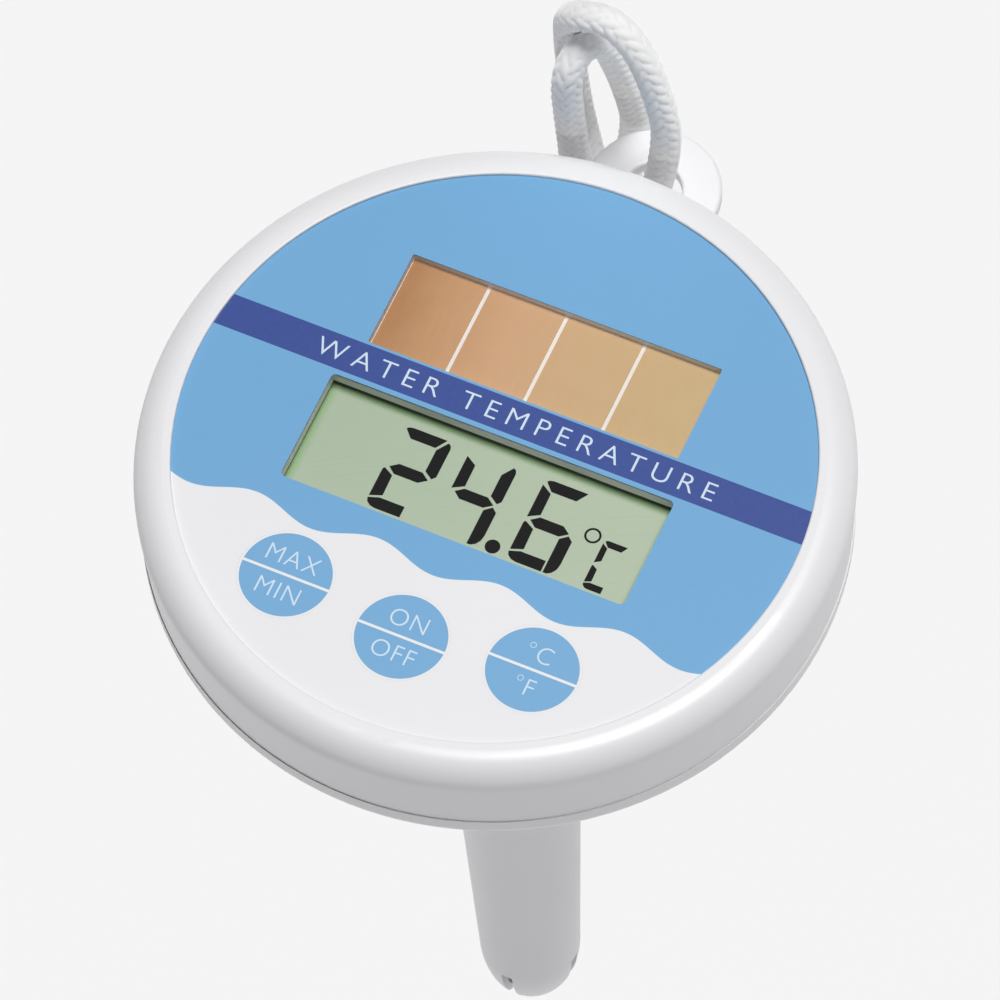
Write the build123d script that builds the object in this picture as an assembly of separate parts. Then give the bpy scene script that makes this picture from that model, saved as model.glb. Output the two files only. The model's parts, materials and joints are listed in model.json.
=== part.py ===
from build123d import *
import math
import os

# Floating pool thermometer: a round solar-powered display head that carries a tapered sensor stem.
# Millimetres.  +Z up along the stem's axis as it floats, +X to the right across the face, +Y to the
# tether eye (twelve o'clock).  The origin is on the axis, at the waterline.

# --- driving dimensions -------------------------------------------------------------------------
HEAD_R = 59.1            # widest radius of the head, just under its rounded shoulder
SEAM_R = 58.6            # radius at the parting line
SEAM_Z = -4.2            # parting line between the two shells
RIM_TOP_Z = 12.6
SHOULDER_R = 4.8         # rounding of the rim's outer edge
WALL = 2.0
FACE_Z = 12.0            # top of the printed face
LABEL_T = 0.25
LABEL_R = 52.6
PANEL_T = 1.5            # front panel under the label
LOWER_R = 58.8
FLOOR_Z = -9.0           # underside of the head
FLOOR_ROUND = 2.5

SOLAR_X, SOLAR_Y = (-27.75, 27.75), (11.05, 29.12)
LCD_X, LCD_Y = (-30.55, 30.55), (-17.15, 3.49)
LCD_GLASS_Z = 9.6        # top of the display's front glass
LCD_GLASS_T = 1.1
CELL_GAP = 0.65
CELL_COUNT = 4

KEYS = {"max_min": (-21.85, -33.5), "on_off": (0.0, -36.4), "unit": (21.85, -33.5)}
KEY_R = 8.0
KEY_TRAVEL = 0.4
KEY_GAP = 0.06           # round each key's disc, in the label
PLUNGER_R = 6.0
PIN_R = 1.5
FIT = 0.08               # radial running clearance of the moving pieces

EYE_Y = 63.4
EYE_R = 11.5
EYE_HOLE_R = 4.8
EYE_T = 2.8

STEM_TIP_Z = -182.0
STEM_REF_Z = -128.0      # height at which the stem's radius is STEM_REF_R
STEM_REF_R = 10.26
STEM_TAPER = 0.028       # radius gained per millimetre of height
STEM_WALL = 1.6
TIP_ROUND_H = 14.7       # the end rounds inwards over this height
TIP_ROUND_W = 4.7
TIP_SLOT_W = 2.2
TIP_SLOT_H = 13.0
TIP_SLOT_ANGLES = (-3.5, 86.5)
BULKHEAD_Z = -168.0
BULKHEAD_T = 2.0
BALLAST_H = 24.0

BOARD_R = 46.5
BOARD_Z = 3.0
BOARD_T = 1.6

SHELL_SCREW_R = 50.3
BOARD_BOSSES = [(38.0, 14.0), (-38.0, 14.0), (33.0, -26.0), (-33.0, -26.0)]

WELL_X, WELL_Y = -33.0, 0.0    # battery well in the underside
CAP_R = 9.5
CAP_LUG_R = 10.7
CELL_R = 5.8
CELL_H = 5.4

CORD_D = 5.0
KNOT_R = 7.5
KNOT_L = 26.0            # from the legs to the cord's two short ends

# --- derived dimensions -------------------------------------------------------------------------
LABEL_BOTTOM_Z = FACE_Z - LABEL_T
PANEL_BOTTOM_Z = LABEL_BOTTOM_Z - PANEL_T
BOARD_TOP_Z = BOARD_Z + BOARD_T
FLOOR_TOP_Z = FLOOR_Z + WALL
INNER_R = SEAM_R - WALL
LCD_REAR_Z = LCD_GLASS_Z - 2 * LCD_GLASS_T


# --- helpers ------------------------------------------------------------------------------------
def turned(points, rounds=()):
    """Solid of revolution about Z from a closed (radius, z) outline, with some corners rounded."""
    outline = make_face(Polyline(*points, close=True))
    for (radius_at, z_at), size in rounds:
        corner = outline.vertices().sort_by_distance((radius_at, z_at, 0))[0]
        outline = fillet(corner, size)
    return revolve(Plane.XZ * outline, Axis.Z, 360)


def post(x, y, radius, low, high):
    return Pos(x, y, (low + high) / 2) * Cylinder(radius, high - low)


def tube(x, y, outer, inner, low, high):
    return post(x, y, outer, low, high) - post(x, y, inner, low, high)


def block(x_range, y_range, low, high):
    size = (x_range[1] - x_range[0], y_range[1] - y_range[0], high - low)
    centre = (sum(x_range) / 2, sum(y_range) / 2, (low + high) / 2)
    return Pos(*centre) * Box(*size)


def grown(span, by):
    return (span[0] - by, span[1] + by)


def sector(inner, outer, low, high, start, sweep):
    """Part of a ring about the Z axis, from angle start over sweep degrees."""
    ring = Cylinder(outer, high - low) - Cylinder(inner, high - low)
    reach = 2 * outer
    wedge_points = [(0, 0)]
    for step in range(5):
        angle = math.radians(start + sweep * step / 4)
        wedge_points.append((reach * math.cos(angle), reach * math.sin(angle)))
    wedge = extrude(make_face(Polyline(*wedge_points, close=True)), high - low)
    return Pos(0, 0, (low + high) / 2) * ring & Pos(0, 0, low) * wedge


def around(count, radius, start):
    """Evenly spaced points on a circle."""
    for k in range(count):
        angle = math.radians(start + 360 * k / count)
        yield radius * math.cos(angle), radius * math.sin(angle)


def stem_radius(z):
    return STEM_REF_R + STEM_TAPER * (z - STEM_REF_Z)


def group(solids):
    return Compound(children=list(solids))


def save(name, shape):
    export_step(shape, f"parts/{name}.step")


# --- shells -------------------------------------------------------------------------------------
def upper_shell():
    body = turned(
        [
            (0, PANEL_BOTTOM_Z),
            (INNER_R - 1.8, PANEL_BOTTOM_Z),
            (INNER_R, PANEL_BOTTOM_Z - 1.8),
            (INNER_R, SEAM_Z),
            (SEAM_R, SEAM_Z),
            (HEAD_R, 7.0),
            (HEAD_R, RIM_TOP_Z),
            (LABEL_R + 0.15, RIM_TOP_Z),
            (LABEL_R + 0.15, LABEL_BOTTOM_Z),
            (0, LABEL_BOTTOM_Z),
        ],
        rounds=[((HEAD_R, RIM_TOP_Z), SHOULDER_R), ((LABEL_R + 0.15, RIM_TOP_Z), 0.35)],
    )
    body += tether_eye() - post(0, 0, INNER_R + 0.5, SEAM_Z - 1, RIM_TOP_Z)
    for x, y in around(4, SHELL_SCREW_R, 45):
        body += post(x, y, 3.2, SEAM_Z, PANEL_BOTTOM_Z)
        body -= post(x, y, 1.4, SEAM_Z, 3.0)
    for x, y in BOARD_BOSSES:
        body += post(x, y, 3.0, BOARD_TOP_Z, PANEL_BOTTOM_Z)
        body -= post(x, y, 1.1, BOARD_TOP_Z, 9.0)
    body += block(grown(LCD_X, 1.8), grown(LCD_Y, 1.8), LCD_GLASS_Z, PANEL_BOTTOM_Z)
    body -= block(SOLAR_X, SOLAR_Y, PANEL_BOTTOM_Z - 1, RIM_TOP_Z)
    body -= block(LCD_X, LCD_Y, LCD_GLASS_Z - 1, RIM_TOP_Z)
    for x, y in KEYS.values():
        body -= post(x, y, KEY_R + 0.3, LABEL_BOTTOM_Z - KEY_TRAVEL - 0.15, RIM_TOP_Z)
        body -= post(x, y, PLUNGER_R + FIT, PANEL_BOTTOM_Z - 1, RIM_TOP_Z)
    return body


def tether_eye():
    """Flat rounded ear that stands out of the wall, with its bottom on the parting line."""
    top = SEAM_Z + EYE_T
    ear = post(0, EYE_Y, EYE_R, SEAM_Z, top)
    ear += block((-EYE_R, EYE_R), (INNER_R - 12, EYE_Y), SEAM_Z, top)
    ear -= post(0, EYE_Y, EYE_HOLE_R, SEAM_Z, top)
    rims = ear.edges().filter_by(GeomType.CIRCLE)
    rims = rims.filter_by(lambda edge: edge.center().Y > EYE_Y - 1)
    return fillet(rims, 0.6)


def lower_shell():
    gasket_low, gasket_high = SEAM_Z + 0.8, SEAM_Z + 2.1
    body = turned(
        [
            (13.75, -15.5),
            (16.6, -15.5),
            (21.5, FLOOR_Z),
            (LOWER_R, FLOOR_Z),
            (LOWER_R, SEAM_Z),
            (INNER_R - 0.1, SEAM_Z),
            (INNER_R - 0.1, gasket_low),
            (INNER_R - 1.3, gasket_low),
            (INNER_R - 1.3, gasket_high),
            (INNER_R - 0.1, gasket_high),
            (INNER_R - 0.1, SEAM_Z + 3.2),
            (INNER_R - 2.2, SEAM_Z + 3.2),
            (INNER_R - 2.2, FLOOR_TOP_Z),
            (15.5, FLOOR_TOP_Z),
            (15.5, FLOOR_TOP_Z - 1.7),
            (13.75, FLOOR_TOP_Z - 1.7),
        ],
        rounds=[((LOWER_R, FLOOR_Z), FLOOR_ROUND), ((21.5, FLOOR_Z), 3.0), ((16.6, -15.5), 1.0)],
    )
    for x, y in around(4, SHELL_SCREW_R, 45):
        body += post(x, y, 4.0, FLOOR_TOP_Z, SEAM_Z) - tube(0, 0, 60, INNER_R - 2.2, -9, 0)
        body -= post(x, y, 3.1, FLOOR_Z, -6.9)
        body -= post(x, y, 1.6, FLOOR_Z, SEAM_Z)
    for x, y in around(3, 17.4, 90):
        body -= post(x, y, 1.1, -11.5, FLOOR_TOP_Z)
    body += post(WELL_X, WELL_Y, CAP_LUG_R + 1.8, FLOOR_Z, 1.6)
    body -= Pos(WELL_X, WELL_Y, 0) * battery_well()
    return body


def battery_well():
    """The hollow that the cap and the cell go into, about its own axis."""
    well = post(0, 0, CAP_R + FIT, FLOOR_Z, -6.2)
    well += post(0, 0, CAP_LUG_R + FIT, -7.9, -6.2)
    well += post(0, 0, CELL_R + 0.35, -6.2, 0.4)
    for start in (60, 240):
        well += sector(CAP_R - 1, CAP_LUG_R + FIT, FLOOR_Z, -7.9, start, 60)
    for x in (-3.0, 5.6):
        well += post(x, 0, 0.5, 0.4, 1.6)
    return well


def shell_gasket():
    return Pos(0, 0, SEAM_Z + 1.45) * Torus(INNER_R - 0.66, 0.62)


def screw(head_r, head_h, shank_r, shank_l):
    """Pan-head screw, head down, with a cross recess.  Its seat is at z = 0, its shank goes up."""
    head = Pos(0, 0, -head_h / 2) * Cylinder(head_r, head_h)
    head -= Pos(0, 0, -head_h) * Box(head_r * 1.1, head_r * 0.22, head_h)
    head -= Pos(0, 0, -head_h) * Box(head_r * 0.22, head_r * 1.1, head_h)
    return head + Pos(0, 0, shank_l / 2) * Cylinder(shank_r, shank_l)


def shell_screws():
    places = around(4, SHELL_SCREW_R, 45)
    return group(Pos(x, y, -6.9) * screw(2.8, 1.5, 1.38, 9.6) for x, y in places)


# --- face ---------------------------------------------------------------------------------------
def front_label():
    label = post(0, 0, LABEL_R, LABEL_BOTTOM_Z, FACE_Z)
    label -= block(SOLAR_X, SOLAR_Y, LABEL_BOTTOM_Z - 1, FACE_Z + 1)
    label -= block(LCD_X, LCD_Y, LABEL_BOTTOM_Z - 1, FACE_Z + 1)
    for x, y in KEYS.values():
        label -= post(x, y, KEY_R + KEY_GAP, LABEL_BOTTOM_Z - 1, FACE_Z + 1)
    return label


def window(x_range, y_range):
    return block(x_range, y_range, FACE_Z - 0.5, FACE_Z)


def key_disc(x, y):
    return post(x, y, KEY_R, LABEL_BOTTOM_Z, FACE_Z)


def plunger(x, y):
    return post(x, y, PLUNGER_R, 9.4, LABEL_BOTTOM_Z) + post(x, y, PIN_R, 7.2, 9.4)


def key_switch(x, y):
    body = block((x - 3, x + 3), (y - 3, y + 3), BOARD_TOP_Z, 8.1)
    return body - post(x, y, PIN_R + FIT, 6.4, 8.1)


# --- solar panel --------------------------------------------------------------------------------
def solar_substrate():
    return block(grown(SOLAR_X, 1.6), grown(SOLAR_Y, 1.2), PANEL_BOTTOM_Z - 1.0, PANEL_BOTTOM_Z)


def solar_cells():
    left, right = grown(SOLAR_X, -0.15)
    width = (right - left - (CELL_COUNT - 1) * CELL_GAP) / CELL_COUNT
    cells = []
    for k in range(CELL_COUNT):
        start = left + k * (width + CELL_GAP)
        span = (start, start + width)
        cells.append(block(span, grown(SOLAR_Y, -0.15), PANEL_BOTTOM_Z, PANEL_BOTTOM_Z + 0.2))
    return group(cells)


def solar_leads():
    return group(post(x, 20, 0.6, BOARD_TOP_Z, PANEL_BOTTOM_Z - 1.0) for x in (-24, 24))


# --- display ------------------------------------------------------------------------------------
def lcd_front_glass():
    return block(grown(LCD_X, 1.4), grown(LCD_Y, 1.2), LCD_GLASS_Z - LCD_GLASS_T, LCD_GLASS_Z)


def lcd_rear_glass():
    low, high = grown(LCD_Y, 1.2)
    return block(grown(LCD_X, 1.4), (low - 2, high), LCD_REAR_Z, LCD_GLASS_Z - LCD_GLASS_T)


def lcd_reflector():
    return block(grown(LCD_X, 1.4), grown(LCD_Y, 1.2), LCD_REAR_Z - 0.2, LCD_REAR_Z)


def zebra_strip():
    low = LCD_Y[0] - 3.0
    return block(grown(LCD_X, -1.5), (low, low + 1.6), BOARD_TOP_Z, LCD_REAR_Z)


def lcd_holder():
    low, high = grown(LCD_Y, 1.25)
    low -= 2
    frame = block(grown(LCD_X, 3.2), (low - 1.2, high + 1.2), BOARD_TOP_Z, LCD_GLASS_Z)
    frame -= block(grown(LCD_X, 1.45), (low, high), LCD_REAR_Z - 0.2, LCD_GLASS_Z)
    frame -= block(grown(LCD_X, -3), grown(LCD_Y, -1.5), BOARD_TOP_Z, LCD_REAR_Z)
    strip = LCD_Y[0] - 3.0
    frame -= block(grown(LCD_X, -1.45), (strip - 0.05, strip + 1.65), BOARD_TOP_Z, LCD_REAR_Z)
    return frame


# --- electronics --------------------------------------------------------------------------------
def circuit_board():
    board = post(0, 0, BOARD_R, BOARD_Z, BOARD_TOP_Z)
    for x, y in BOARD_BOSSES:
        board -= post(x, y, 1.3, BOARD_Z, BOARD_TOP_Z)
    for x in (WELL_X - 3.0, WELL_X + 5.6):
        board -= post(x, WELL_Y, 0.5, BOARD_Z, BOARD_TOP_Z)
    return board


def board_screws():
    return group(Pos(x, y, BOARD_Z) * screw(2.4, 1.3, 1.08, 5.4) for x, y in BOARD_BOSSES)


def controller_blob():
    dome = Pos(0, -7, BOARD_TOP_Z - 6.4) * Sphere(8.4)
    return dome & block((-9, 9), (-16, 2), BOARD_TOP_Z, BOARD_TOP_Z + 2)


def clock_crystal():
    return Pos(15, -7, BOARD_TOP_Z + 1.0) * Rot(0, 90, 0) * Cylinder(1.0, 6.0)


def buffer_capacitor():
    can = post(20, 26, 4.0, BOARD_Z - 7.0, BOARD_Z)
    return fillet(can.edges().sort_by(Axis.Z)[0], 0.6)


# --- battery ------------------------------------------------------------------------------------
def button_cell():
    cell = post(WELL_X, WELL_Y, CELL_R, -6.1, -6.1 + CELL_H)
    return fillet(cell.edges().filter_by(GeomType.CIRCLE), 0.5)


def spring_contact():
    """Dished leaf that presses on the cell, with its pin through the board."""
    leaf = Pos(WELL_X, WELL_Y, 0) * turned([(0, -0.7), (1.2, -0.7), (4.4, 0.1), (4.4, 0.4), (0, 0.4)])
    return leaf + post(WELL_X - 3.0, WELL_Y, 0.5, 0.4, BOARD_TOP_Z)


def side_contact():
    """Curved strip against the cell's side, with its pin through the board."""
    strip = sector(CELL_R, CELL_R + 0.35, -5.4, 0.4, -35, 70)
    pin = post(5.6, 0, 0.5, 0.4, BOARD_TOP_Z)
    foot = block((4.9, 6.0), (-0.5, 0.5), 0.0, 0.4)
    return Pos(WELL_X, WELL_Y, 0) * (strip + foot + pin)


def battery_cap():
    """Bayonet cap with a coin slot; its lugs lock behind the well's rim."""
    cap = post(0, 0, CAP_R, FLOOR_Z, -6.35)
    for start in (-20, 160):
        cap += sector(CAP_R - 1, CAP_LUG_R, -7.7, -6.5, start, 40)
    cap -= Pos(0, 0, FLOOR_Z) * Box(13, 2.2, 2.4)
    cap -= tube(0, 0, 8.7, 7.3, -7.5, -6.35)
    return Pos(WELL_X, WELL_Y, 0) * cap


def cap_seal():
    return Pos(WELL_X, WELL_Y, -6.9) * Torus(8.0, 0.6)


# --- stem ---------------------------------------------------------------------------------------
def stem_outline(inset, low, high):
    """Outline of the stem pulled in by inset, from its rounded end up, with its axis closed."""
    start = STEM_TIP_Z + TIP_ROUND_H
    width = stem_radius(start)
    centre = (width - TIP_ROUND_W, start)
    arc = EllipticalCenterArc(centre, TIP_ROUND_W - inset, TIP_ROUND_H - inset, 270, arc_size=90)
    side = Line(arc @ 1, (stem_radius(high) - inset, high))
    top = Line(side @ 1, (0, high))
    axis = Line((0, high), (0, low))
    base = Line((0, low), arc @ 0)
    return make_face([arc, side, top, axis, base])


def stem_tube():
    """Tapered tube: flange on the head's floor, bulkhead, open water chamber, four slots in its end."""
    flange_top = FLOOR_TOP_Z + 2.0
    outer = revolve(Plane.XZ * stem_outline(0, STEM_TIP_Z, flange_top), Axis.Z, 360)
    outer += post(0, 0, 19.6, FLOOR_TOP_Z, flange_top)
    hollow = revolve(Plane.XZ * stem_outline(STEM_WALL, STEM_TIP_Z + STEM_WALL, flange_top), Axis.Z, 360)
    hollow -= post(0, 0, 20, BULKHEAD_Z, BULKHEAD_Z + BULKHEAD_T)
    body = outer - hollow
    body -= post(0, 0, 2.5, BULKHEAD_Z, BULKHEAD_Z + BULKHEAD_T)
    slot = Pos(0, 0, STEM_TIP_Z + TIP_SLOT_H / 2) * Box(30, TIP_SLOT_W, TIP_SLOT_H)
    for angle in TIP_SLOT_ANGLES:
        body -= Rot(0, 0, angle) * slot
    for x, y in around(3, 17.4, 90):
        body -= post(x, y, 1.3, FLOOR_TOP_Z, flange_top)
    return body


def stem_seal():
    return Pos(0, 0, FLOOR_TOP_Z - 0.85) * Torus(14.62, 0.78)


def stem_screws():
    one = Rot(180, 0, 0) * screw(2.1, 1.3, 1.08, 6.2)
    return group(Pos(x, y, FLOOR_TOP_Z + 2.0) * one for x, y in around(3, 17.4, 90))


def ballast_weight():
    low = BULKHEAD_Z + BULKHEAD_T
    high = low + BALLAST_H
    gap = STEM_WALL + 0.15
    foot, head = stem_radius(low) - gap, stem_radius(high) - gap
    return turned([(1.5, low), (foot, low), (head, high), (1.5, high)])


def sensor_sleeve():
    """Closed metal thimble in the bulkhead, with a collar on its dry side inside the ballast."""
    low = BULKHEAD_Z - 8.5
    high = BULKHEAD_Z + BULKHEAD_T
    outline = [(0, low), (2.5, low), (2.5, high), (2.1, high), (2.1, low + 0.4), (0, low + 0.4)]
    return turned(outline, rounds=[((2.5, low), 1.8)])


def thermistor_bead():
    return Pos(0, 0, BULKHEAD_Z - 5.6) * Sphere(1.3)


def sensor_potting():
    low, high = BULKHEAD_Z - 3.0, BULKHEAD_Z + BULKHEAD_T
    return tube(0, 0, 2.1, 0.9, low, high)


def sensor_lead():
    return post(0, 0, 0.9, BULKHEAD_Z - 4.2, BOARD_Z)


# --- tether cord --------------------------------------------------------------------------------
# One braided cord goes down through the eye, loops back under it, and both legs arch over and hang
# behind the head to a knot.  The legs meet just under the eye.
CORD_START = (-0.7, 63.1, -9.0)
FRONT_LEG = [
    CORD_START,
    (0.5, 63.6, -1.0),
    (1.8, 64.5, 8.0),
    (2.0, 65.0, 18.0),
    (0.8, 65.5, 27.0),
    (-1.9, 66.0, 34.0),
    (-5.4, 66.6, 38.8),
    (-9.4, 67.2, 42.0),
    (-14.0, 68.2, 41.8),
    (-17.2, 69.4, 37.8),
    (-18.3, 70.2, 31.2),
    (-18.0, 70.8, 20.0),
    (-16.4, 71.4, 2.0),
    (-15.2, 71.7, -18.0),
    (-15.6, 71.0, -46.0),
    (-16.4, 69.6, -80.0),
    (-16.4, 69.6, -112.0),
]
BACK_LEG = [
    CORD_START,
    (-1.72, 62.675, -15.8),
    (-3.8, 63.7, -22.0),
    (-6.6, 66.7, -25.6),
    (-9.0, 70.9, -25.0),
    (-10.2, 74.7, -20.6),
    (-10.0, 76.8, -13.6),
    (-9.2, 76.9, -5.0),
    (-9.0, 75.0, 6.0),
    (-9.3, 72.6, 15.0),
    (-9.0, 71.5, 22.6),
    (-9.0, 71.0, 29.2),
    (-9.6, 70.2, 32.8),
    (-11.2, 68.0, 35.0),
    (-13.2, 65.2, 35.2),
    (-14.8, 63.0, 33.4),
    (-15.4, 62.2, 30.0),
    (-15.3, 62.0, 23.4),
    (-14.9, 62.3, 11.0),
    (-14.6, 63.2, -6.0),
    (-15.2, 64.0, -34.0),
    (-16.2, 63.8, -72.0),
    (-16.2, 63.8, -112.0),
]


def corner_radii(points):
    """The largest even arc for each corner: 0.45 of its shorter run over tan(half its turn)."""
    radii = []
    for before, at, after in zip(points, points[1:], points[2:]):
        come, go = Vector(*at) - Vector(*before), Vector(*after) - Vector(*at)
        half_turn = math.radians(come.get_angle(go)) / 2
        radii.append(0.45 * min(come.length, go.length) / math.tan(half_turn))
    return radii


def cord_leg(name, points):
    radii = corner_radii(points)
    path = FilletPolyline(*points, radius=radii)
    section = Plane(origin=path @ 0, z_dir=path % 0) * Circle(CORD_D / 2)
    leg = sweep(section, path=path)
    ideal = math.pi * CORD_D**2 / 4 * path.length
    print(name, "radii", [round(r, 1) for r in radii])
    print(name, "length", round(path.length, 1), "volume", round(leg.volume), "of", round(ideal))
    return leg


def tether_knot():
    """Overhand knot that ties the legs, with its two short ends below."""
    ends = [FRONT_LEG[-1], BACK_LEG[-1]]
    x, y, top = (sum(values) / 2 for values in zip(*ends))
    knot = Pos(x, y, top - KNOT_R) * Sphere(KNOT_R)
    for end_x, end_y, end_z in ends:
        knot += post(end_x, end_y, CORD_D / 2, end_z - KNOT_R, end_z)
        knot += post(end_x, end_y, CORD_D / 2, end_z - KNOT_L, end_z - KNOT_R)
    return knot


def build():
    os.makedirs("parts", exist_ok=True)
    save("upper_shell", upper_shell())
    save("lower_shell", lower_shell())
    save("shell_gasket", shell_gasket())
    save("shell_screws", shell_screws())
    save("front_label", front_label())
    save("solar_window", window(SOLAR_X, SOLAR_Y))
    save("lcd_window", window(LCD_X, LCD_Y))
    for name, (x, y) in KEYS.items():
        save(f"{name}_key", key_disc(x, y))
        save(f"{name}_plunger", plunger(x, y))
        save(f"{name}_switch", key_switch(x, y))
    save("solar_substrate", solar_substrate())
    save("solar_cells", solar_cells())
    save("solar_leads", solar_leads())
    save("lcd_front_glass", lcd_front_glass())
    save("lcd_rear_glass", lcd_rear_glass())
    save("lcd_reflector", lcd_reflector())
    save("zebra_strip", zebra_strip())
    save("lcd_holder", lcd_holder())
    save("circuit_board", circuit_board())
    save("board_screws", board_screws())
    save("controller_blob", controller_blob())
    save("clock_crystal", clock_crystal())
    save("buffer_capacitor", buffer_capacitor())
    save("button_cell", button_cell())
    save("spring_contact", spring_contact())
    save("side_contact", side_contact())
    save("battery_cap", battery_cap())
    save("cap_seal", cap_seal())
    save("stem_tube", stem_tube())
    save("stem_seal", stem_seal())
    save("stem_screws", stem_screws())
    save("ballast_weight", ballast_weight())
    save("sensor_sleeve", sensor_sleeve())
    save("thermistor_bead", thermistor_bead())
    save("sensor_potting", sensor_potting())
    save("sensor_lead", sensor_lead())
    save("tether_front_leg", cord_leg("tether_front_leg", FRONT_LEG))
    save("tether_back_leg", cord_leg("tether_back_leg", BACK_LEG))
    save("tether_knot", tether_knot())


build()
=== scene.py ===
"""Looks of the floating pool thermometer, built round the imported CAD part.  Metres, same frame."""
import json
import math

import bpy
import numpy as np
from mathutils import Matrix, Vector


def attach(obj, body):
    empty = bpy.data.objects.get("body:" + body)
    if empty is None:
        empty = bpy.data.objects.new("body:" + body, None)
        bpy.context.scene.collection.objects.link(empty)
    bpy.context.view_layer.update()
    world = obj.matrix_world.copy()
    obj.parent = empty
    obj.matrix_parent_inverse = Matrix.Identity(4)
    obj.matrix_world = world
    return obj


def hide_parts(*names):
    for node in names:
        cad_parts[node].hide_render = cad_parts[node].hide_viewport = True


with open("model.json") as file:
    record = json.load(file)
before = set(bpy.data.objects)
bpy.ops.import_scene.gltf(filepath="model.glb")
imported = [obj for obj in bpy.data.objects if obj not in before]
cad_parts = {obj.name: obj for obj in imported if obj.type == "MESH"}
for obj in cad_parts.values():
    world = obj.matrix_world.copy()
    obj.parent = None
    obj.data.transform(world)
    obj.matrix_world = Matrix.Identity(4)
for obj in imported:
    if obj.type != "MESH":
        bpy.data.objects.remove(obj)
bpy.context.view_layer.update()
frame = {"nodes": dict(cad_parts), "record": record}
MM = 0.001
HEAD = "float_head"


def linked(name, data):
    """A new object that holds the data, in the scene."""
    item = bpy.data.objects.new(name, data)
    bpy.context.scene.collection.objects.link(item)
    return item


# --- camera -----------------------------------------------------------------------------------------
CAMERA_AT = (0.31823, -0.59732, 1.23756)
CAMERA_AZIMUTH = math.radians(28.015)
CAMERA_ELEVATION = math.radians(61.396)
CAMERA_ROLL = math.radians(-4.213)
CAMERA_LENS = 309.91
CAMERA_SENSOR = 36.0


def add_camera():
    """Long lens, above and to the right of the face, rolled a little."""
    data = bpy.data.cameras.new("camera")
    data.lens = CAMERA_LENS
    data.sensor_width = CAMERA_SENSOR
    camera = linked("camera", data)
    turn = Matrix.Rotation(CAMERA_AZIMUTH, 4, "Z") @ Matrix.Rotation(math.pi / 2 - CAMERA_ELEVATION, 4, "X")
    turn = turn @ Matrix.Rotation(CAMERA_ROLL, 4, "Z")
    camera.matrix_world = Matrix.Translation(CAMERA_AT) @ turn
    bpy.context.scene.camera = camera


add_camera()


# --- mesh and node helpers --------------------------------------------------------------------------
def smooth_object(name, verts, faces):
    """A smooth-shaded mesh piece that rides on the head."""
    mesh = bpy.data.meshes.new(name)
    mesh.from_pydata([tuple(v) for v in verts], [], [tuple(f) for f in faces])
    mesh.update()
    mesh.polygons.foreach_set("use_smooth", [True] * len(mesh.polygons))
    piece = linked(name, mesh)
    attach(piece, HEAD)
    return piece


class Nodes:
    """A material's node tree, with short calls for what the materials here share."""

    def __init__(self, name):
        self.material = bpy.data.materials.new(name)
        self.material.use_nodes = True
        self.tree = self.material.node_tree
        self.shader = self.tree.nodes["Principled BSDF"]
        self.place = self.add("ShaderNodeTexCoord").outputs["Object"]

    def add(self, kind, **values):
        node = self.tree.nodes.new(kind)
        for key, value in values.items():
            if key.startswith("in_"):
                node.inputs[int(key[3:])].default_value = value
            else:
                setattr(node, key, value)
        return node

    def link(self, source, target):
        self.tree.links.new(source, target)

    def set(self, **values):
        for key, value in values.items():
            self.shader.inputs[key.replace("_", " ")].default_value = value

    def noise(self, scale, detail=3.0, stretch=(1, 1, 1), rough=0.55):
        mapping = self.add("ShaderNodeMapping")
        mapping.inputs["Scale"].default_value = stretch
        self.link(self.place, mapping.inputs["Vector"])
        noise = self.add("ShaderNodeTexNoise")
        noise.inputs["Scale"].default_value = scale
        noise.inputs["Detail"].default_value = detail
        noise.inputs["Roughness"].default_value = rough
        self.link(mapping.outputs["Vector"], noise.inputs["Vector"])
        return noise.outputs["Fac"]

    def ramp(self, fac, stops):
        ramp = self.add("ShaderNodeValToRGB")
        elements = ramp.color_ramp.elements
        while len(elements) < len(stops):
            elements.new(0.5)
        for element, (at, colour) in zip(elements, stops):
            element.position = at
            element.color = (*colour, 1.0)
        self.link(fac, ramp.inputs["Fac"])
        return ramp.outputs["Color"]

    def remap(self, fac, low, high, start=0.3, end=0.7):
        node = self.add("ShaderNodeMapRange")
        node.inputs["From Min"].default_value = start
        node.inputs["From Max"].default_value = end
        node.inputs["To Min"].default_value = low
        node.inputs["To Max"].default_value = high
        self.link(fac, node.inputs["Value"])
        return node.outputs["Result"]

    def bump(self, height, distance, strength=1.0):
        node = self.add("ShaderNodeBump")
        node.inputs["Strength"].default_value = strength
        node.inputs["Distance"].default_value = distance
        self.link(height, node.inputs["Height"])
        return node.outputs["Normal"]


def linear(rgb):
    """Linear light from 0-255 screen values."""
    shares = [c / 255 for c in rgb]
    return tuple(c / 12.92 if c <= 0.04045 else ((c + 0.055) / 1.055) ** 2.4 for c in shares)


def shaded(colour, by):
    """The colour made lighter or darker by a factor."""
    return tuple(min(c * by, 1.0) for c in colour)


def surface(name, rgb, rough=0.4, spread=0.05, grain=1800, grain_depth=2e-6, cloud=60, **values):
    """Moulded or printed surface: faint clouding of colour and gloss, over a fine grain."""
    nodes = Nodes(name)
    base = linear(rgb)
    clouds = nodes.noise(cloud, 4)
    stops = [(0.3, shaded(base, 1 - spread / 2)), (0.7, shaded(base, 1 + spread / 2))]
    nodes.link(nodes.ramp(clouds, stops), nodes.shader.inputs["Base Color"])
    fine = nodes.noise(grain, 2)
    nodes.link(nodes.remap(fine, rough * 0.92, rough * 1.1), nodes.shader.inputs["Roughness"])
    nodes.link(nodes.bump(fine, grain_depth), nodes.shader.inputs["Normal"])
    nodes.set(**values)
    return nodes.material


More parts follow.
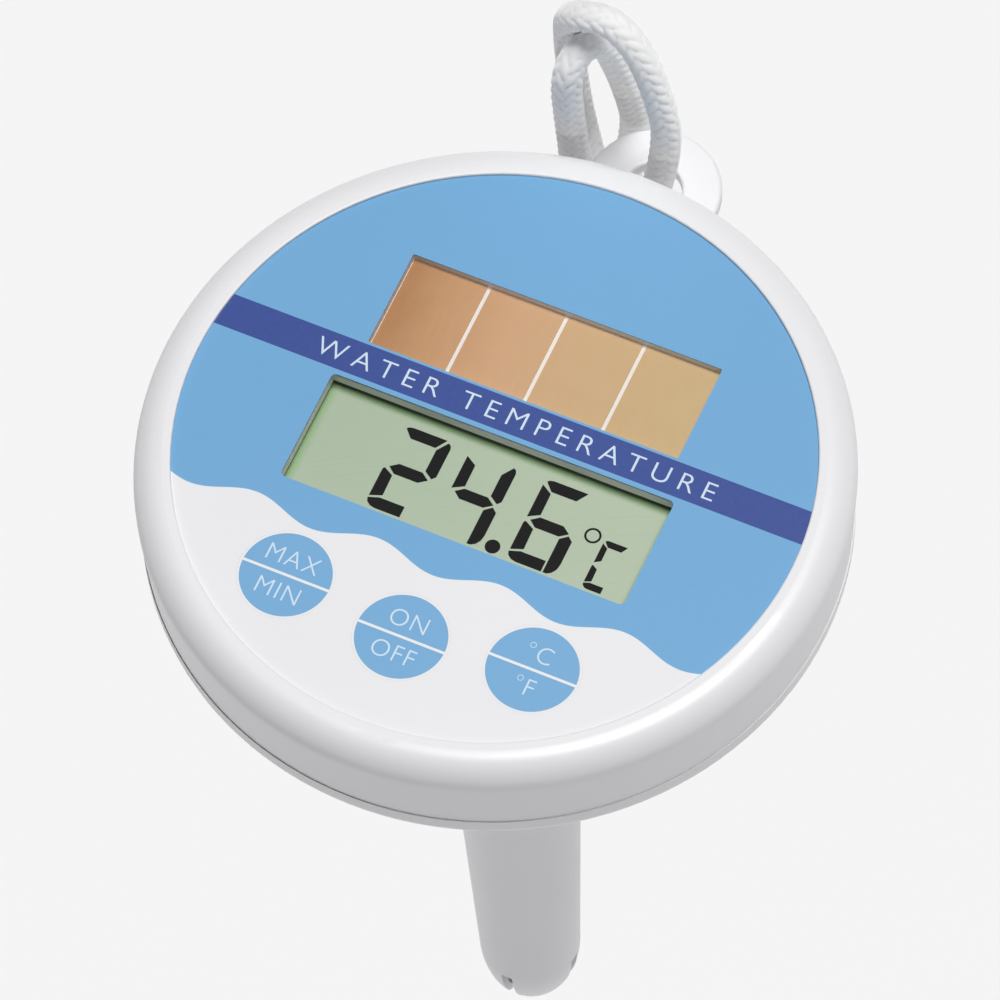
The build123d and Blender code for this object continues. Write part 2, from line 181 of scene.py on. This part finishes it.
def metal(name, rgb, rough=0.3, stretch=(1, 1, 12), pits=0.0):
    """Drawn or turned metal: fine drag lines, and dull patches."""
    nodes = Nodes(name)
    base = linear(rgb)
    drag = nodes.noise(700, 3, stretch)
    patches = nodes.noise(120, 4)
    stops = [(0.35, shaded(base, 0.8 - pits)), (0.65, base)]
    nodes.link(nodes.ramp(patches, stops), nodes.shader.inputs["Base Color"])
    nodes.link(nodes.remap(drag, rough * 0.7, rough * 1.3), nodes.shader.inputs["Roughness"])
    nodes.link(nodes.bump(drag, 4e-6 + pits * 4e-5), nodes.shader.inputs["Normal"])
    nodes.set(Metallic=1.0)
    return nodes.material


def pane(name, rgb, alpha, rough=0.06):
    """Clear sheet, seen through, with a light haze of fine scratches."""
    nodes = Nodes(name)
    haze = nodes.noise(90, 4)
    base = linear(rgb)
    stops = [(0.3, base), (0.7, shaded(base, 1.04))]
    nodes.link(nodes.ramp(haze, stops), nodes.shader.inputs["Base Color"])
    nodes.link(nodes.remap(haze, rough, rough * 2), nodes.shader.inputs["Roughness"])
    nodes.set(Alpha=alpha, IOR=1.45)
    return nodes.material


def braid_material():
    """White fibre with painted shade: darker in the grooves, where the stitch relief is low, with fine threads
    that run along the cord.
    """
    nodes = Nodes("braided_fibre")
    relief = nodes.add("ShaderNodeAttribute", attribute_name="relief").outputs["Fac"]
    # painted shade: the fibre's colour darkens where the stitches sink, standing in for the shade in the
    # grooves
    groove_painted_shade = [
        (0.0, linear((226, 227, 228))),
        (0.45, linear((248, 248, 248))),
        (1.0, linear((254, 254, 254))),
    ]
    nodes.link(nodes.ramp(relief, groove_painted_shade), nodes.shader.inputs["Base Color"])
    threads = nodes.noise(2600, 2, (1, 1, 0.35))
    nodes.link(nodes.remap(threads, 0.55, 0.8), nodes.shader.inputs["Roughness"])
    nodes.link(nodes.bump(threads, 6e-5, 0.7), nodes.shader.inputs["Normal"])
    nodes.set(Sheen_Weight=0.9, Sheen_Roughness=0.6)
    nodes.set(Subsurface_Weight=0.8, Subsurface_Radius=(0.003, 0.003, 0.003))
    return nodes.material


BRAID = braid_material()

# --- tether cord ------------------------------------------------------------------------------------
CORD_D = 0.005
CORD_START = (-0.0007, 0.0631, -0.0090)
FRONT_LEG = [
    CORD_START,
    (0.0005, 0.0636, -0.0010),
    (0.0018, 0.0645, 0.0080),
    (0.0021, 0.0651, 0.0179),
    (0.0002, 0.0657, 0.0262),
    (-0.0021, 0.0664, 0.0328),
    (-0.0052, 0.0672, 0.0372),
    (-0.0092, 0.0678, 0.0393),
    (-0.0134, 0.0678, 0.0380),
    (-0.0166, 0.0691, 0.0340),
    (-0.0179, 0.0706, 0.0282),
    (-0.0181, 0.0712, 0.0170),
    (-0.0171, 0.0710, 0.0018),
    (-0.0149, 0.0717, -0.0182),
    (-0.0156, 0.0710, -0.0460),
    (-0.0164, 0.0696, -0.0800),
    (-0.0164, 0.0696, -0.1120),
]
BACK_LEG = [
    CORD_START,
    (-0.0017, 0.062675, -0.0158),
    (-0.0038, 0.0637, -0.0220),
    (-0.0066, 0.0667, -0.0256),
    (-0.0090, 0.0709, -0.0250),
    (-0.0102, 0.0747, -0.0206),
    (-0.0100, 0.0768, -0.0136),
    (-0.0092, 0.0769, -0.0050),
    (-0.0094, 0.0749, 0.0060),
    (-0.0098, 0.0732, 0.0144),
    (-0.0104, 0.0720, 0.0204),
    (-0.0110, 0.0712, 0.0248),
    (-0.0119, 0.0698, 0.0280),
    (-0.0130, 0.0676, 0.0298),
    (-0.0140, 0.0652, 0.0295),
    (-0.0146, 0.0632, 0.0272),
    (-0.0148, 0.0624, 0.0226),
    (-0.0146, 0.0626, 0.0140),
    (-0.0144, 0.0632, 0.0030),
    (-0.0144, 0.0634, -0.0060),
    (-0.0152, 0.0640, -0.0340),
    (-0.0162, 0.0638, -0.0720),
    (-0.0162, 0.0638, -0.1120),
]
# The knot: one strand wraps the other, and both have a short end below it.
KNOT_CORE = [
    (-0.0162, 0.0638, -0.1120),
    (-0.0163, 0.0640, -0.1180),
    (-0.0164, 0.0645, -0.1240),
    (-0.0163, 0.0640, -0.1300),
    (-0.0160, 0.0636, -0.1376),
]
KNOT_WRAP = [
    (-0.0164, 0.0696, -0.1120),
    (-0.0162, 0.0698, -0.1150),
    (-0.0118, 0.0682, -0.1172),
    (-0.0110, 0.0636, -0.1180),
    (-0.0138, 0.0588, -0.1186),
    (-0.0190, 0.0590, -0.1194),
    (-0.0214, 0.0636, -0.1202),
    (-0.0194, 0.0686, -0.1210),
    (-0.0140, 0.0694, -0.1222),
    (-0.0108, 0.0650, -0.1234),
    (-0.0130, 0.0596, -0.1242),
    (-0.0188, 0.0592, -0.1250),
    (-0.0216, 0.0640, -0.1262),
    (-0.0198, 0.0684, -0.1284),
    (-0.0172, 0.0696, -0.1320),
    (-0.0168, 0.0698, -0.1374),
]
WALES = 8                # columns of stitches round the cord
STITCH = 0.0023          # distance from one stitch to the next in its column
LOBE_HALF_L = 0.00205    # half length and half width of a stitch
LOBE_HALF_W = 0.00086
LOBE_LEAN = math.radians(38)
RELIEF = 0.00042         # depth of the grooves
CROWN = 0.00016          # how far the crowns of the stitches stand past the cord's own radius
AROUND = 72              # points round the cord
STEP = 0.0002            # distance between the rings of points


def cord_line(name, points):
    """Points read along a smooth NURBS curve through the route."""
    data = bpy.data.curves.new(name, "CURVE")
    data.dimensions = "3D"
    data.resolution_u = 16
    spline = data.splines.new("NURBS")
    spline.points.add(len(points) - 1)
    for at, point in zip(points, spline.points):
        point.co = (*at, 1.0)
    spline.order_u = 3
    spline.use_endpoint_u = True
    holder = bpy.data.objects.new(name, data)
    line = bpy.data.meshes.new_from_object(holder)
    found = np.array([v.co for v in line.vertices])
    bpy.data.objects.remove(holder)
    bpy.data.meshes.remove(line)
    return found


def evenly(line, step):
    """The same line with its points a constant distance apart."""
    along = np.concatenate([[0], np.cumsum(np.linalg.norm(np.diff(line, axis=0), axis=1))])
    count = max(int(along[-1] / step), 2)
    at = np.linspace(0, along[-1], count + 1)
    return np.stack([np.interp(at, along, line[:, k]) for k in range(3)], 1), at


def frames_along(line):
    """Unit tangent and two normals at each point, carried along without twist."""
    tangent = np.gradient(line, axis=0)
    tangent /= np.linalg.norm(tangent, axis=1)[:, None]
    first = np.cross(tangent[0], (0.3, 0.9, 0.2))
    normals = [first / np.linalg.norm(first)]
    for t in tangent[1:]:
        n = normals[-1] - t * np.dot(normals[-1], t)
        normals.append(n / np.linalg.norm(n))
    normals = np.array(normals)
    return tangent, normals, np.cross(tangent, normals)


def stitch_height(angle, along):
    """0 in the grooves to 1 on the crown of each stitch: overlapping lobes, leaning left and right by turns."""
    width = math.pi * CORD_D / WALES
    column, along = np.broadcast_arrays(angle / (2 * math.pi) * WALES, along)
    top = np.zeros(along.shape)
    for side in (-1, 0, 1):
        index = np.floor(column) + side
        lean = np.where(index % 2 == 0, LOBE_LEAN, -LOBE_LEAN)
        shift = np.where(index % 2 == 0, 0.0, 0.5)
        across = (column - index - 0.5) * width
        for step in (-1, 0, 1):
            middle = (np.round(along / STITCH - shift) + step + shift) * STITCH
            run = along - middle
            u = across * np.cos(lean) - run * np.sin(lean)
            v = across * np.sin(lean) + run * np.cos(lean)
            lobe = 1 - (u / LOBE_HALF_W) ** 2 - (v / LOBE_HALF_L) ** 2
            top = np.maximum(top, np.sqrt(np.clip(lobe, 0, 1)))
    return top


def braid(name, line, rounded_end=False):
    """Closed braided tube along the line, with a worn rounded tip at its far end if asked."""
    line, along = evenly(line, STEP)
    _, normal, side = frames_along(line)
    angle = np.arange(AROUND) * 2 * math.pi / AROUND
    height = stitch_height(angle[None, :], along[:, None])
    radius = CORD_D / 2 + CROWN - RELIEF * (1 - height)
    if rounded_end:
        close = np.clip((along[-1] - along) / (CORD_D * 0.4), 0, 1)
        radius = radius * np.sqrt(1 - (1 - close[:, None]) ** 2 * 0.9)
    spoke = np.cos(angle)[None, :, None] * normal[:, None, :] + np.sin(angle)[None, :, None] * side[:, None, :]
    verts = (line[:, None, :] + spoke * radius[:, :, None]).reshape(-1, 3)
    rings = len(line)
    row = np.arange(AROUND)
    nxt = (row + 1) % AROUND
    start = (np.arange(rings - 1) * AROUND)[:, None]
    quads = np.stack([start + row, start + nxt, start + AROUND + nxt, start + AROUND + row], -1)
    faces = quads.reshape(-1, 4).tolist()
    verts = np.concatenate([verts, line[:1], line[-1:]])
    first, last = rings * AROUND, rings * AROUND + 1
    faces += [(first, int(b), int(a)) for a, b in zip(row, nxt)]
    end = (rings - 1) * AROUND
    faces += [(last, int(end + a), int(end + b)) for a, b in zip(row, nxt)]
    piece = smooth_object(name, verts, faces)
    # stitch height, which the fibre material turns into painted shade in the grooves
    relief = piece.data.attributes.new("relief", "FLOAT", "POINT")
    relief.data.foreach_set("value", np.concatenate([height.ravel(), [0.4, 0.4]]).astype(np.float32))
    piece.data.materials.append(BRAID)
    return piece, line


def add_tether():
    """Two free strands from the eye to the knot, and the knot's own two strands."""
    core, _ = braid("knot_core_strand", cord_line("core_line", KNOT_CORE), rounded_end=True)
    wrap, _ = braid("knot_wrap_strand", cord_line("wrap_line", KNOT_WRAP), rounded_end=True)
    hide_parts("tether_knot")
    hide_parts("tether_knot")
    for name, node, points, knot in (
        ("front_strand", "tether_front_leg", FRONT_LEG, [wrap]),
        ("back_strand", "tether_back_leg", BACK_LEG, [core]),
    ):
        piece, line = braid(name, cord_line(name + "_line", points))
        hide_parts(node)


add_tether()


# --- flat artwork -----------------------------------------------------------------------------------
def plate(name, outlines, low, high, material, body=HEAD):
    """Flat sheet between two heights, from closed outlines in millimetres; inner ones are holes."""
    data = bpy.data.curves.new(name, "CURVE")
    data.dimensions = "2D"
    data.fill_mode = "BOTH"
    data.extrude = (high - low) / 2 * MM
    for outline in outlines:
        spline = data.splines.new("POLY")
        spline.points.add(len(outline) - 1)
        for (x, y), point in zip(outline, spline.points):
            point.co = (x * MM, y * MM, 0.0, 1.0)
        spline.use_cyclic_u = True
    return settled(name, data, (low + high) / 2, material, body)


def settled(name, data, z, material, body):
    """A mesh piece from a flat curve or text, with its middle at height z in millimetres."""
    holder = bpy.data.objects.new(name + "_holder", data)
    mesh = bpy.data.meshes.new_from_object(holder)
    mesh.name = name
    bpy.data.objects.remove(holder)
    mesh.transform(Matrix.Translation((0, 0, z * MM)))
    mesh.materials.clear()
    mesh.materials.append(material)
    piece = linked(name, mesh)
    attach(piece, body)
    return piece


def arc(radius, start, end, centre=(0.0, 0.0), count=96):
    """Points from one angle to another, in degrees."""
    turns = [math.radians(start + (end - start) * k / count) for k in range(count + 1)]
    return [(centre[0] + radius * math.cos(t), centre[1] + radius * math.sin(t)) for t in turns]


def circle(radius, centre=(0.0, 0.0), count=160):
    return arc(radius, 0, 360, centre, count)[:-1]


def rectangle(x_range, y_range, corner=0.0):
    (x0, x1), (y0, y1) = x_range, y_range
    if not corner:
        return [(x0, y0), (x1, y0), (x1, y1), (x0, y1)]
    points = []
    for x, y, start in (
        (x1 - corner, y0 + corner, -90),
        (x1 - corner, y1 - corner, 0),
        (x0 + corner, y1 - corner, 90),
        (x0 + corner, y0 + corner, 180),
    ):
        points += arc(corner, start, start + 90, (x, y), 6)
    return points


CAPITAL_SHARE = 0.729      # height of a capital over the font's size
INK_HALF = 0.006           # half the thickness of a printed letter


def text(name, words, centre, cap, body, spacing, thin, width):
    """Lettering with capitals of the given height, centred on a point, as a thin printed layer."""
    data = bpy.data.curves.new(name, "FONT")
    data.body = words
    data.size = cap * MM / CAPITAL_SHARE
    data.space_character = spacing
    data.offset = -thin * MM
    data.extrude = INK_HALF * MM
    piece = settled(name, data, INK_Z, INK_LETTER, body)
    box = np.array([v.co for v in piece.data.vertices])
    middle = (box.min(0) + box.max(0)) / 2
    piece.data.transform(Matrix.Translation((-middle[0], -middle[1], 0)))
    piece.data.transform(Matrix.Diagonal((width, 1, 1, 1)))
    piece.data.transform(Matrix.Translation((centre[0] * MM, centre[1] * MM, 0)))
    return piece


# Sizes of the printed face, in millimetres; ranges are low and high edges.
FACE_Z = 12.0
LABEL_LOW_Z = 11.75
LABEL_R = 52.73
SOLAR_X, SOLAR_Y = (-27.75, 27.75), (11.05, 29.12)
LCD_X, LCD_Y = (-30.55, 30.55), (-17.15, 3.49)
BAND_Y = (4.38, 10.60)
WAVE_Y, WAVE_H, WAVE_L, WAVE_X = -22.86, 1.365, 21.75, 5.46
KEY_R, KEY_PRINT_R, KEY_GAP = 8.04, 7.62, 0.01
KEYS = {
    "max_min": ((-21.85, -33.5), "MAX", "MIN"),
    "on_off": ((0.0, -36.4), "ON", "OFF"),
    "unit": ((21.85, -33.5), "°C", "°F"),
}
KEY_BAR = 0.24              # half the height of the white bar across a key
LEGEND_CAP, LEGEND_DY = 3.3, 3.1
LETTERS_AT, LETTERS_CAP = (0.4, 7.5), 3.55
INK_Z = FACE_Z + 0.010      # middle of the printed letters, just proud of the face

INK_BLUE = surface("ink_blue", (113, 171, 216), 0.30, 0.02, 2400, 1.2e-6, 25)
INK_KEY = surface("ink_key_blue", (116, 172, 216), 0.32, 0.02, 2400, 1.2e-6, 40)
INK_BAND = surface("ink_band_blue", (52, 76, 150), 0.30, 0.06, 2400, 1.2e-6, 900)
INK_WHITE = surface("ink_white", (236, 236, 238), 0.32, 0.015, 2400, 1.2e-6, 40)
INK_LETTER = surface("ink_lettering", (208, 226, 242), 0.34, 0.03, 2400, 1.2e-6, 200)


def wave(x):
    return WAVE_Y + WAVE_H * math.sin(2 * math.pi * (x - WAVE_X) / WAVE_L)


def wave_end(side):
    """Where the wave meets the label's edge, as (x, y)."""
    x = side * 45.0
    for _ in range(40):
        x = side * math.sqrt(LABEL_R**2 - wave(x) ** 2)
    return x, wave(x)


def bearing(x, y):
    return math.degrees(math.atan2(y, x))


def add_label():
    """The printed face in four inks that tile it: blue above the band, band, blue below, white."""
    low, high = LABEL_LOW_Z, FACE_Z
    left, right = wave_end(-1), wave_end(1)
    across = [left[0] + (right[0] - left[0]) * k / 240 for k in range(241)]
    edge = [(x, wave(x)) for x in across]
    band_at = [math.degrees(math.asin(y / LABEL_R)) for y in BAND_Y]
    top = arc(LABEL_R, band_at[1], 180 - band_at[1])
    band = arc(LABEL_R, band_at[0], band_at[1], count=10)
    band += arc(LABEL_R, 180 - band_at[1], 180 - band_at[0], count=10)
    lower = edge + arc(LABEL_R, bearing(*right), band_at[0], count=48)
    lower += arc(LABEL_R, 180 - band_at[0], 360 + bearing(*left), count=48)[:-1]
    white = list(reversed(edge)) + arc(LABEL_R, bearing(*left), bearing(*right), count=120)[1:-1]
    holes = [circle(KEY_R + KEY_GAP, at) for at, _, _ in KEYS.values()]
    pieces = [
        plate("label_blue_upper", [top, rectangle(SOLAR_X, SOLAR_Y, 0.25)], low, high, INK_BLUE),
        plate("label_band", [band], low, high, INK_BAND),
        plate("label_blue_lower", [lower, rectangle(LCD_X, LCD_Y, 0.9)], low, high, INK_BLUE),
        plate("label_white", [white, *holes], low, high, INK_WHITE),
    ]
    for piece in pieces:
        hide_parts("front_label")
    words = text("band_lettering", "WATER TEMPERATURE", LETTERS_AT, LETTERS_CAP, HEAD, 1.46, 0.05, 1.05)


def add_key_print(name, centre, upper, lower):
    """A key's printed disc: two blue halves in a white ring, with a word in each."""
    body = f"{name}_button"
    x, y = centre
    tilt = math.degrees(math.asin(KEY_BAR / KEY_PRINT_R))
    halves = [
        [(x + px, y + py) for px, py in arc(KEY_PRINT_R, tilt, 180 - tilt, count=80)],
        [(x + px, y + py) for px, py in arc(KEY_PRINT_R, 180 + tilt, 360 - tilt, count=80)],
    ]
    ground = plate(f"{name}_ground", [circle(KEY_R, centre), *halves], LABEL_LOW_Z, FACE_Z, INK_WHITE, body)
    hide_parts(f"{name}_key")
    for half, outline in zip(("upper", "lower"), halves):
        blue = plate(f"{name}_{half}_blue", [outline], LABEL_LOW_Z, FACE_Z, INK_KEY, body)
        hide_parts(f"{name}_key")
    for half, word, dy in (("upper", upper, LEGEND_DY), ("lower", lower, -LEGEND_DY)):
        letters = text(f"{name}_{half}_legend", word, (x, y + dy), LEGEND_CAP, body, 1.08, 0.06, 0.94)


add_label()
for key, (middle, over, under) in KEYS.items():
    add_key_print(key, middle, over, under)


# --- display ----------------------------------------------------------------------------------------
DIGIT_Z = (8.502, 8.530)
SEGMENT_INK = surface("display_segment", (16, 16, 16), 0.5, 0.1, 2400, 1e-6, 300, Specular_IOR_Level=0.1)
SEGMENTS = {"2": "abged", "4": "fgbc", "6": "afgedc", "C": "afed"}
DIGIT_W, DIGIT_H = 8.85, 16.05     # the size that the bars' outlines are drawn for
DIGITS = [("2", -16.7, 1, 1), ("4", -5.0, 1, 1), ("6", 8.5, 1, 1), ("C", 22.0, 0.54, 0.59)]
DIGIT_Y = -15.05
POINT_AT, POINT_R = (5.85, -13.95), 1.28
DEGREE_AT, DEGREE_R = (20.0, -5.7), (1.42, 1.05)


def segment(which, x0, y0, across, up):
    """Outline of one bar of a digit whose lower left corner is (x0, y0), scaled by across and up."""
    w, h, m = DIGIT_W, DIGIT_H, DIGIT_H / 2
    outlines = {
        "a": [(0.6, h - 0.5), (1.0, h - 0.15), (1.65, h), (w - 1.1, h), (w - 2.4, h - 2.0), (2.0, h - 2.0)],
        "b": [(w - 0.7, h - 0.35), (w - 0.2, h - 0.7), (w, h - 1.3), (w, m + 1.1), (w - 0.6, m + 0.45),
              (w - 2.1, m + 1.45), (w - 2.1, h - 2.35)],
        "c": [(w - 0.9, m - 0.35), (w, m - 1.1), (w, 2.4), (w - 0.2, 1.3), (w - 0.75, 0.45), (w - 1.5, 0.0),
              (w - 2.15, 0.0), (w - 2.15, m - 1.4)],
        "d": [(0.05, 1.45), (0.3, 0.75), (1.0, 0.2), (1.9, 0.0), (w - 2.45, 0.0), (w - 2.45, 2.1), (1.9, 2.1)],
        "e": [(0.1, m - 0.8), (0.35, m - 0.45), (2.1, m - 1.4), (2.2, 2.65), (0.1, 1.85)],
        "f": [(0.2, h - 1.25), (2.1, h - 2.4), (2.15, m + 1.45), (0.2, m + 0.35)],
        "g": [(0.95, m), (2.3, m + 1.02), (w - 2.4, m + 1.02), (w - 1.0, m), (w - 2.4, m - 1.02),
              (2.2, m - 1.02)],
    }
    return [(x0 + x * across, y0 + y * up) for x, y in outlines[which]]


def add_display():
    """The reading, as one thin dark plate between the display's two glasses."""
    low, high = DIGIT_Z
    outlines = []
    for digit, x0, across, up in DIGITS:
        outlines += [segment(which, x0, DIGIT_Y, across, up) for which in SEGMENTS[digit]]
    outlines.append(circle(POINT_R, POINT_AT, 40))
    outlines += [circle(radius, DEGREE_AT, 48) for radius in DEGREE_R]
    digits = plate("display_digits", outlines, low, high, SEGMENT_INK)


add_display()


# --- materials of the CAD nodes ---------------------------------------------------------------------
def lcd_ground():
    """Grey-green display ground, lighter towards the right, with a painted shadow: a darker, greener band along
    its edges.
    """
    nodes = Nodes("display_ground")
    axes = nodes.add("ShaderNodeSeparateXYZ")
    nodes.link(nodes.place, axes.inputs[0])
    distances = []
    for axis, (start, end) in (("X", LCD_X), ("Y", LCD_Y)):
        middle, half = (start + end) / 2 * MM, (end - start) / 2 * MM
        offset = nodes.add("ShaderNodeMath", operation="SUBTRACT", in_1=middle)
        nodes.link(axes.outputs[axis], offset.inputs[0])
        size = nodes.add("ShaderNodeMath", operation="ABSOLUTE")
        nodes.link(offset.outputs[0], size.inputs[0])
        inside = nodes.add("ShaderNodeMath", operation="SUBTRACT", in_0=half)
        nodes.link(size.outputs[0], inside.inputs[1])
        distances.append(inside.outputs[0])
    nearest = nodes.add("ShaderNodeMath", operation="MINIMUM")
    for k, distance in enumerate(distances):
        nodes.link(distance, nearest.inputs[k])
    # painted shadow: share of the darker green edge colour, rising towards the display's edges
    edge_shadow_share = nodes.remap(nearest.outputs[0], 0.0, 1.0, 0.0002, 0.0015)
    slope = nodes.remap(axes.outputs["X"], 0.0, 1.0, -0.03, 0.03)
    ground = nodes.ramp(slope, [(0.0, linear((192, 211, 183))), (1.0, linear((204, 220, 193)))])
    mix = nodes.add("ShaderNodeMix", data_type="RGBA")
    nodes.link(edge_shadow_share, mix.inputs["Factor"])
    edge, middle, mixed = mix.inputs[6], mix.inputs[7], mix.outputs[2]
    # colour of the painted shadow band along the display's edges
    edge.default_value = (*linear((160, 200, 140)), 1.0)
    nodes.link(ground, middle)
    nodes.link(mixed, nodes.shader.inputs["Base Color"])
    grain = nodes.noise(2600, 2)
    nodes.link(nodes.remap(grain, 0.42, 0.56), nodes.shader.inputs["Roughness"])
    nodes.link(nodes.bump(grain, 1e-6), nodes.shader.inputs["Normal"])
    return nodes.material


def solar_film():
    """Copper-brown cells, lighter towards the right across the window: partly the cells' own tone, partly a
    painted sheen; with faint cloudy interference.
    """
    nodes = Nodes("solar_film")
    axes = nodes.add("ShaderNodeSeparateXYZ")
    nodes.link(nodes.place, axes.inputs[0])
    along = nodes.remap(axes.outputs["X"], 0.0, 1.0, SOLAR_X[0] * MM, SOLAR_X[1] * MM)
    cloud = nodes.noise(55, 3)
    shift = nodes.add("ShaderNodeMath", operation="MULTIPLY_ADD", in_1=0.16, in_2=-0.08)
    nodes.link(cloud, shift.inputs[0])
    place = nodes.add("ShaderNodeMath", operation="ADD")
    nodes.link(along, place.inputs[0])
    nodes.link(shift.outputs[0], place.inputs[1])
    # the cells' own tone together with a painted sheen: lighter towards the right
    cell_tones_and_painted_sheen = [
        (0.0, linear((184, 130, 80))), (0.14, linear((207, 156, 108))), (0.38, linear((222, 174, 130))),
        (0.62, linear((219, 181, 134))), (1.0, linear((216, 185, 134))),
    ]
    nodes.link(nodes.ramp(place.outputs[0], cell_tones_and_painted_sheen), nodes.shader.inputs["Base Color"])
    fine = nodes.noise(1500, 3, (1, 0.15, 1))
    nodes.link(nodes.remap(fine, 0.30, 0.40), nodes.shader.inputs["Roughness"])
    nodes.link(nodes.bump(fine, 1.5e-6), nodes.shader.inputs["Normal"])
    nodes.set(Coat_Weight=0.3, Coat_Roughness=0.1)
    return nodes.material


def shell(name, rgb, spread=0.012):
    """White moulded plastic that lets a little light in."""
    glow = {"Subsurface_Weight": 0.12, "Subsurface_Radius": (0.002, 0.002, 0.0022)}
    return surface(name, rgb, 0.36, spread, 1400, 3e-6, 30, **glow)


MATERIALS = {
    "shell_plastic": shell("moulded_white", (236, 236, 238)),
    "stem_plastic": shell("moulded_white_stem", (234, 234, 236), 0.02),
    "seal_rubber": surface("seal_rubber", (48, 48, 48), 0.6, 0.1),
    "zebra_rubber": surface("zebra_rubber", (176, 148, 152), 0.6, 0.3, 3000, 4e-6, 2500),
    "screw_steel": metal("screw_steel", (200, 200, 200), 0.28),
    "ballast_iron": metal("ballast_iron", (122, 122, 124), 0.5, (1, 1, 1), 0.15),
    "label_print": INK_WHITE,
    "key_print": INK_WHITE,
    "plunger_plastic": surface("plunger_plastic", (236, 236, 236), 0.4),
    "switch_plastic": surface("switch_plastic", (46, 46, 46), 0.45),
    "clear_window": pane("clear_window", (70, 72, 72), 0.04),
    "lcd_glass": lcd_ground(),
    "lcd_reflector": surface("lcd_reflector", (200, 210, 196), 0.3),
    "holder_plastic": surface("holder_plastic", (230, 230, 229), 0.42),
    "solar_backing": surface("solar_backing", (246, 242, 236), 0.5, 0.06),
    "solar_cell": solar_film(),
    "lead_insulation": surface("lead_insulation", (206, 50, 40), 0.35, 0.1),
    "board_laminate": surface("board_laminate", (30, 112, 66), 0.35, 0.15, 2200, 4e-6, 500),
    "epoxy_black": surface("epoxy_black", (28, 28, 28), 0.3, 0.2),
    "plated_can": metal("plated_can", (214, 214, 212), 0.25),
    "capacitor_sleeve": surface("capacitor_sleeve", (34, 44, 92), 0.3, 0.1),
    "contact_spring": metal("contact_spring", (216, 214, 208), 0.3),
    "sensor_steel": metal("sensor_steel", (208, 208, 208), 0.3),
    "bead_epoxy": surface("bead_epoxy", (44, 38, 32), 0.3, 0.2),
    "potting_resin": surface("potting_resin", (222, 220, 214), 0.4, 0.1),
    "braided_cord": BRAID,
}
LCD_CLEAR = pane("display_front_glass", (70, 76, 68), 0.04)

slot_of = {part["node"]: part["material_slot"] for part in frame["record"]["subparts"]}
for node_name, node in frame["nodes"].items():
    finish = LCD_CLEAR if node_name == "lcd_front_glass" else MATERIALS[slot_of[node_name]]
    node.data.materials.clear()
    node.data.materials.append(finish)


# --- stage ------------------------------------------------------------------------------------------
FLOOR_Z = -0.62
FLOOR_HALF = 30.0
FLOOR_RGB = (0.93, 0.93, 0.935, 1.0)
SKY_STRENGTH = 0.08
SUN_ENERGY = 2.86
SUN_ANGLE = math.radians(26)
SUN_TOWARDS = Vector((0.11, 0.14, 1.0))
FILL_ENERGY = 11.0
FILL_SIZE = math.radians(2.9)
FILL_AT = (0.25, -0.75, 0.22)
FILL_AIM = Vector((-0.008, 0.067, 0.028))


def add_floor():
    half = FLOOR_HALF
    corners = [(-half, -half, FLOOR_Z), (half, -half, FLOOR_Z), (half, half, FLOOR_Z), (-half, half, FLOOR_Z)]
    mesh = bpy.data.meshes.new("floor")
    mesh.from_pydata(corners, [], [(0, 1, 2, 3)])
    floor = linked("floor", mesh)
    nodes = Nodes("pale_floor")
    nodes.set(Roughness=0.9, Base_Color=FLOOR_RGB)
    mesh.materials.append(nodes.material)


def add_lights():
    """Faint even sky, one soft sun, and a narrow low spot on the cord's arch."""
    world = bpy.data.worlds.new("studio")
    bpy.context.scene.world = world
    world.use_nodes = True
    sky = world.node_tree.nodes["Background"]
    sky.inputs["Color"].default_value = (1.0, 1.0, 1.0, 1.0)
    sky.inputs["Strength"].default_value = SKY_STRENGTH
    sun = bpy.data.lights.new("overhead", "SUN")
    sun.energy = SUN_ENERGY
    sun.angle = SUN_ANGLE
    linked("overhead", sun).rotation_euler = SUN_TOWARDS.to_track_quat("Z", "Y").to_euler()
    fill = bpy.data.lights.new("cord_fill", "SPOT")
    fill.energy = FILL_ENERGY
    fill.spot_size = FILL_SIZE
    fill.spot_blend = 0.6
    fill.shadow_soft_size = 0.03
    spot = linked("cord_fill", fill)
    spot.location = FILL_AT
    spot.rotation_euler = (FILL_AIM - spot.location).to_track_quat("-Z", "Y").to_euler()


add_floor()
add_lights()
bpy.context.scene.view_settings.view_transform = "Standard"
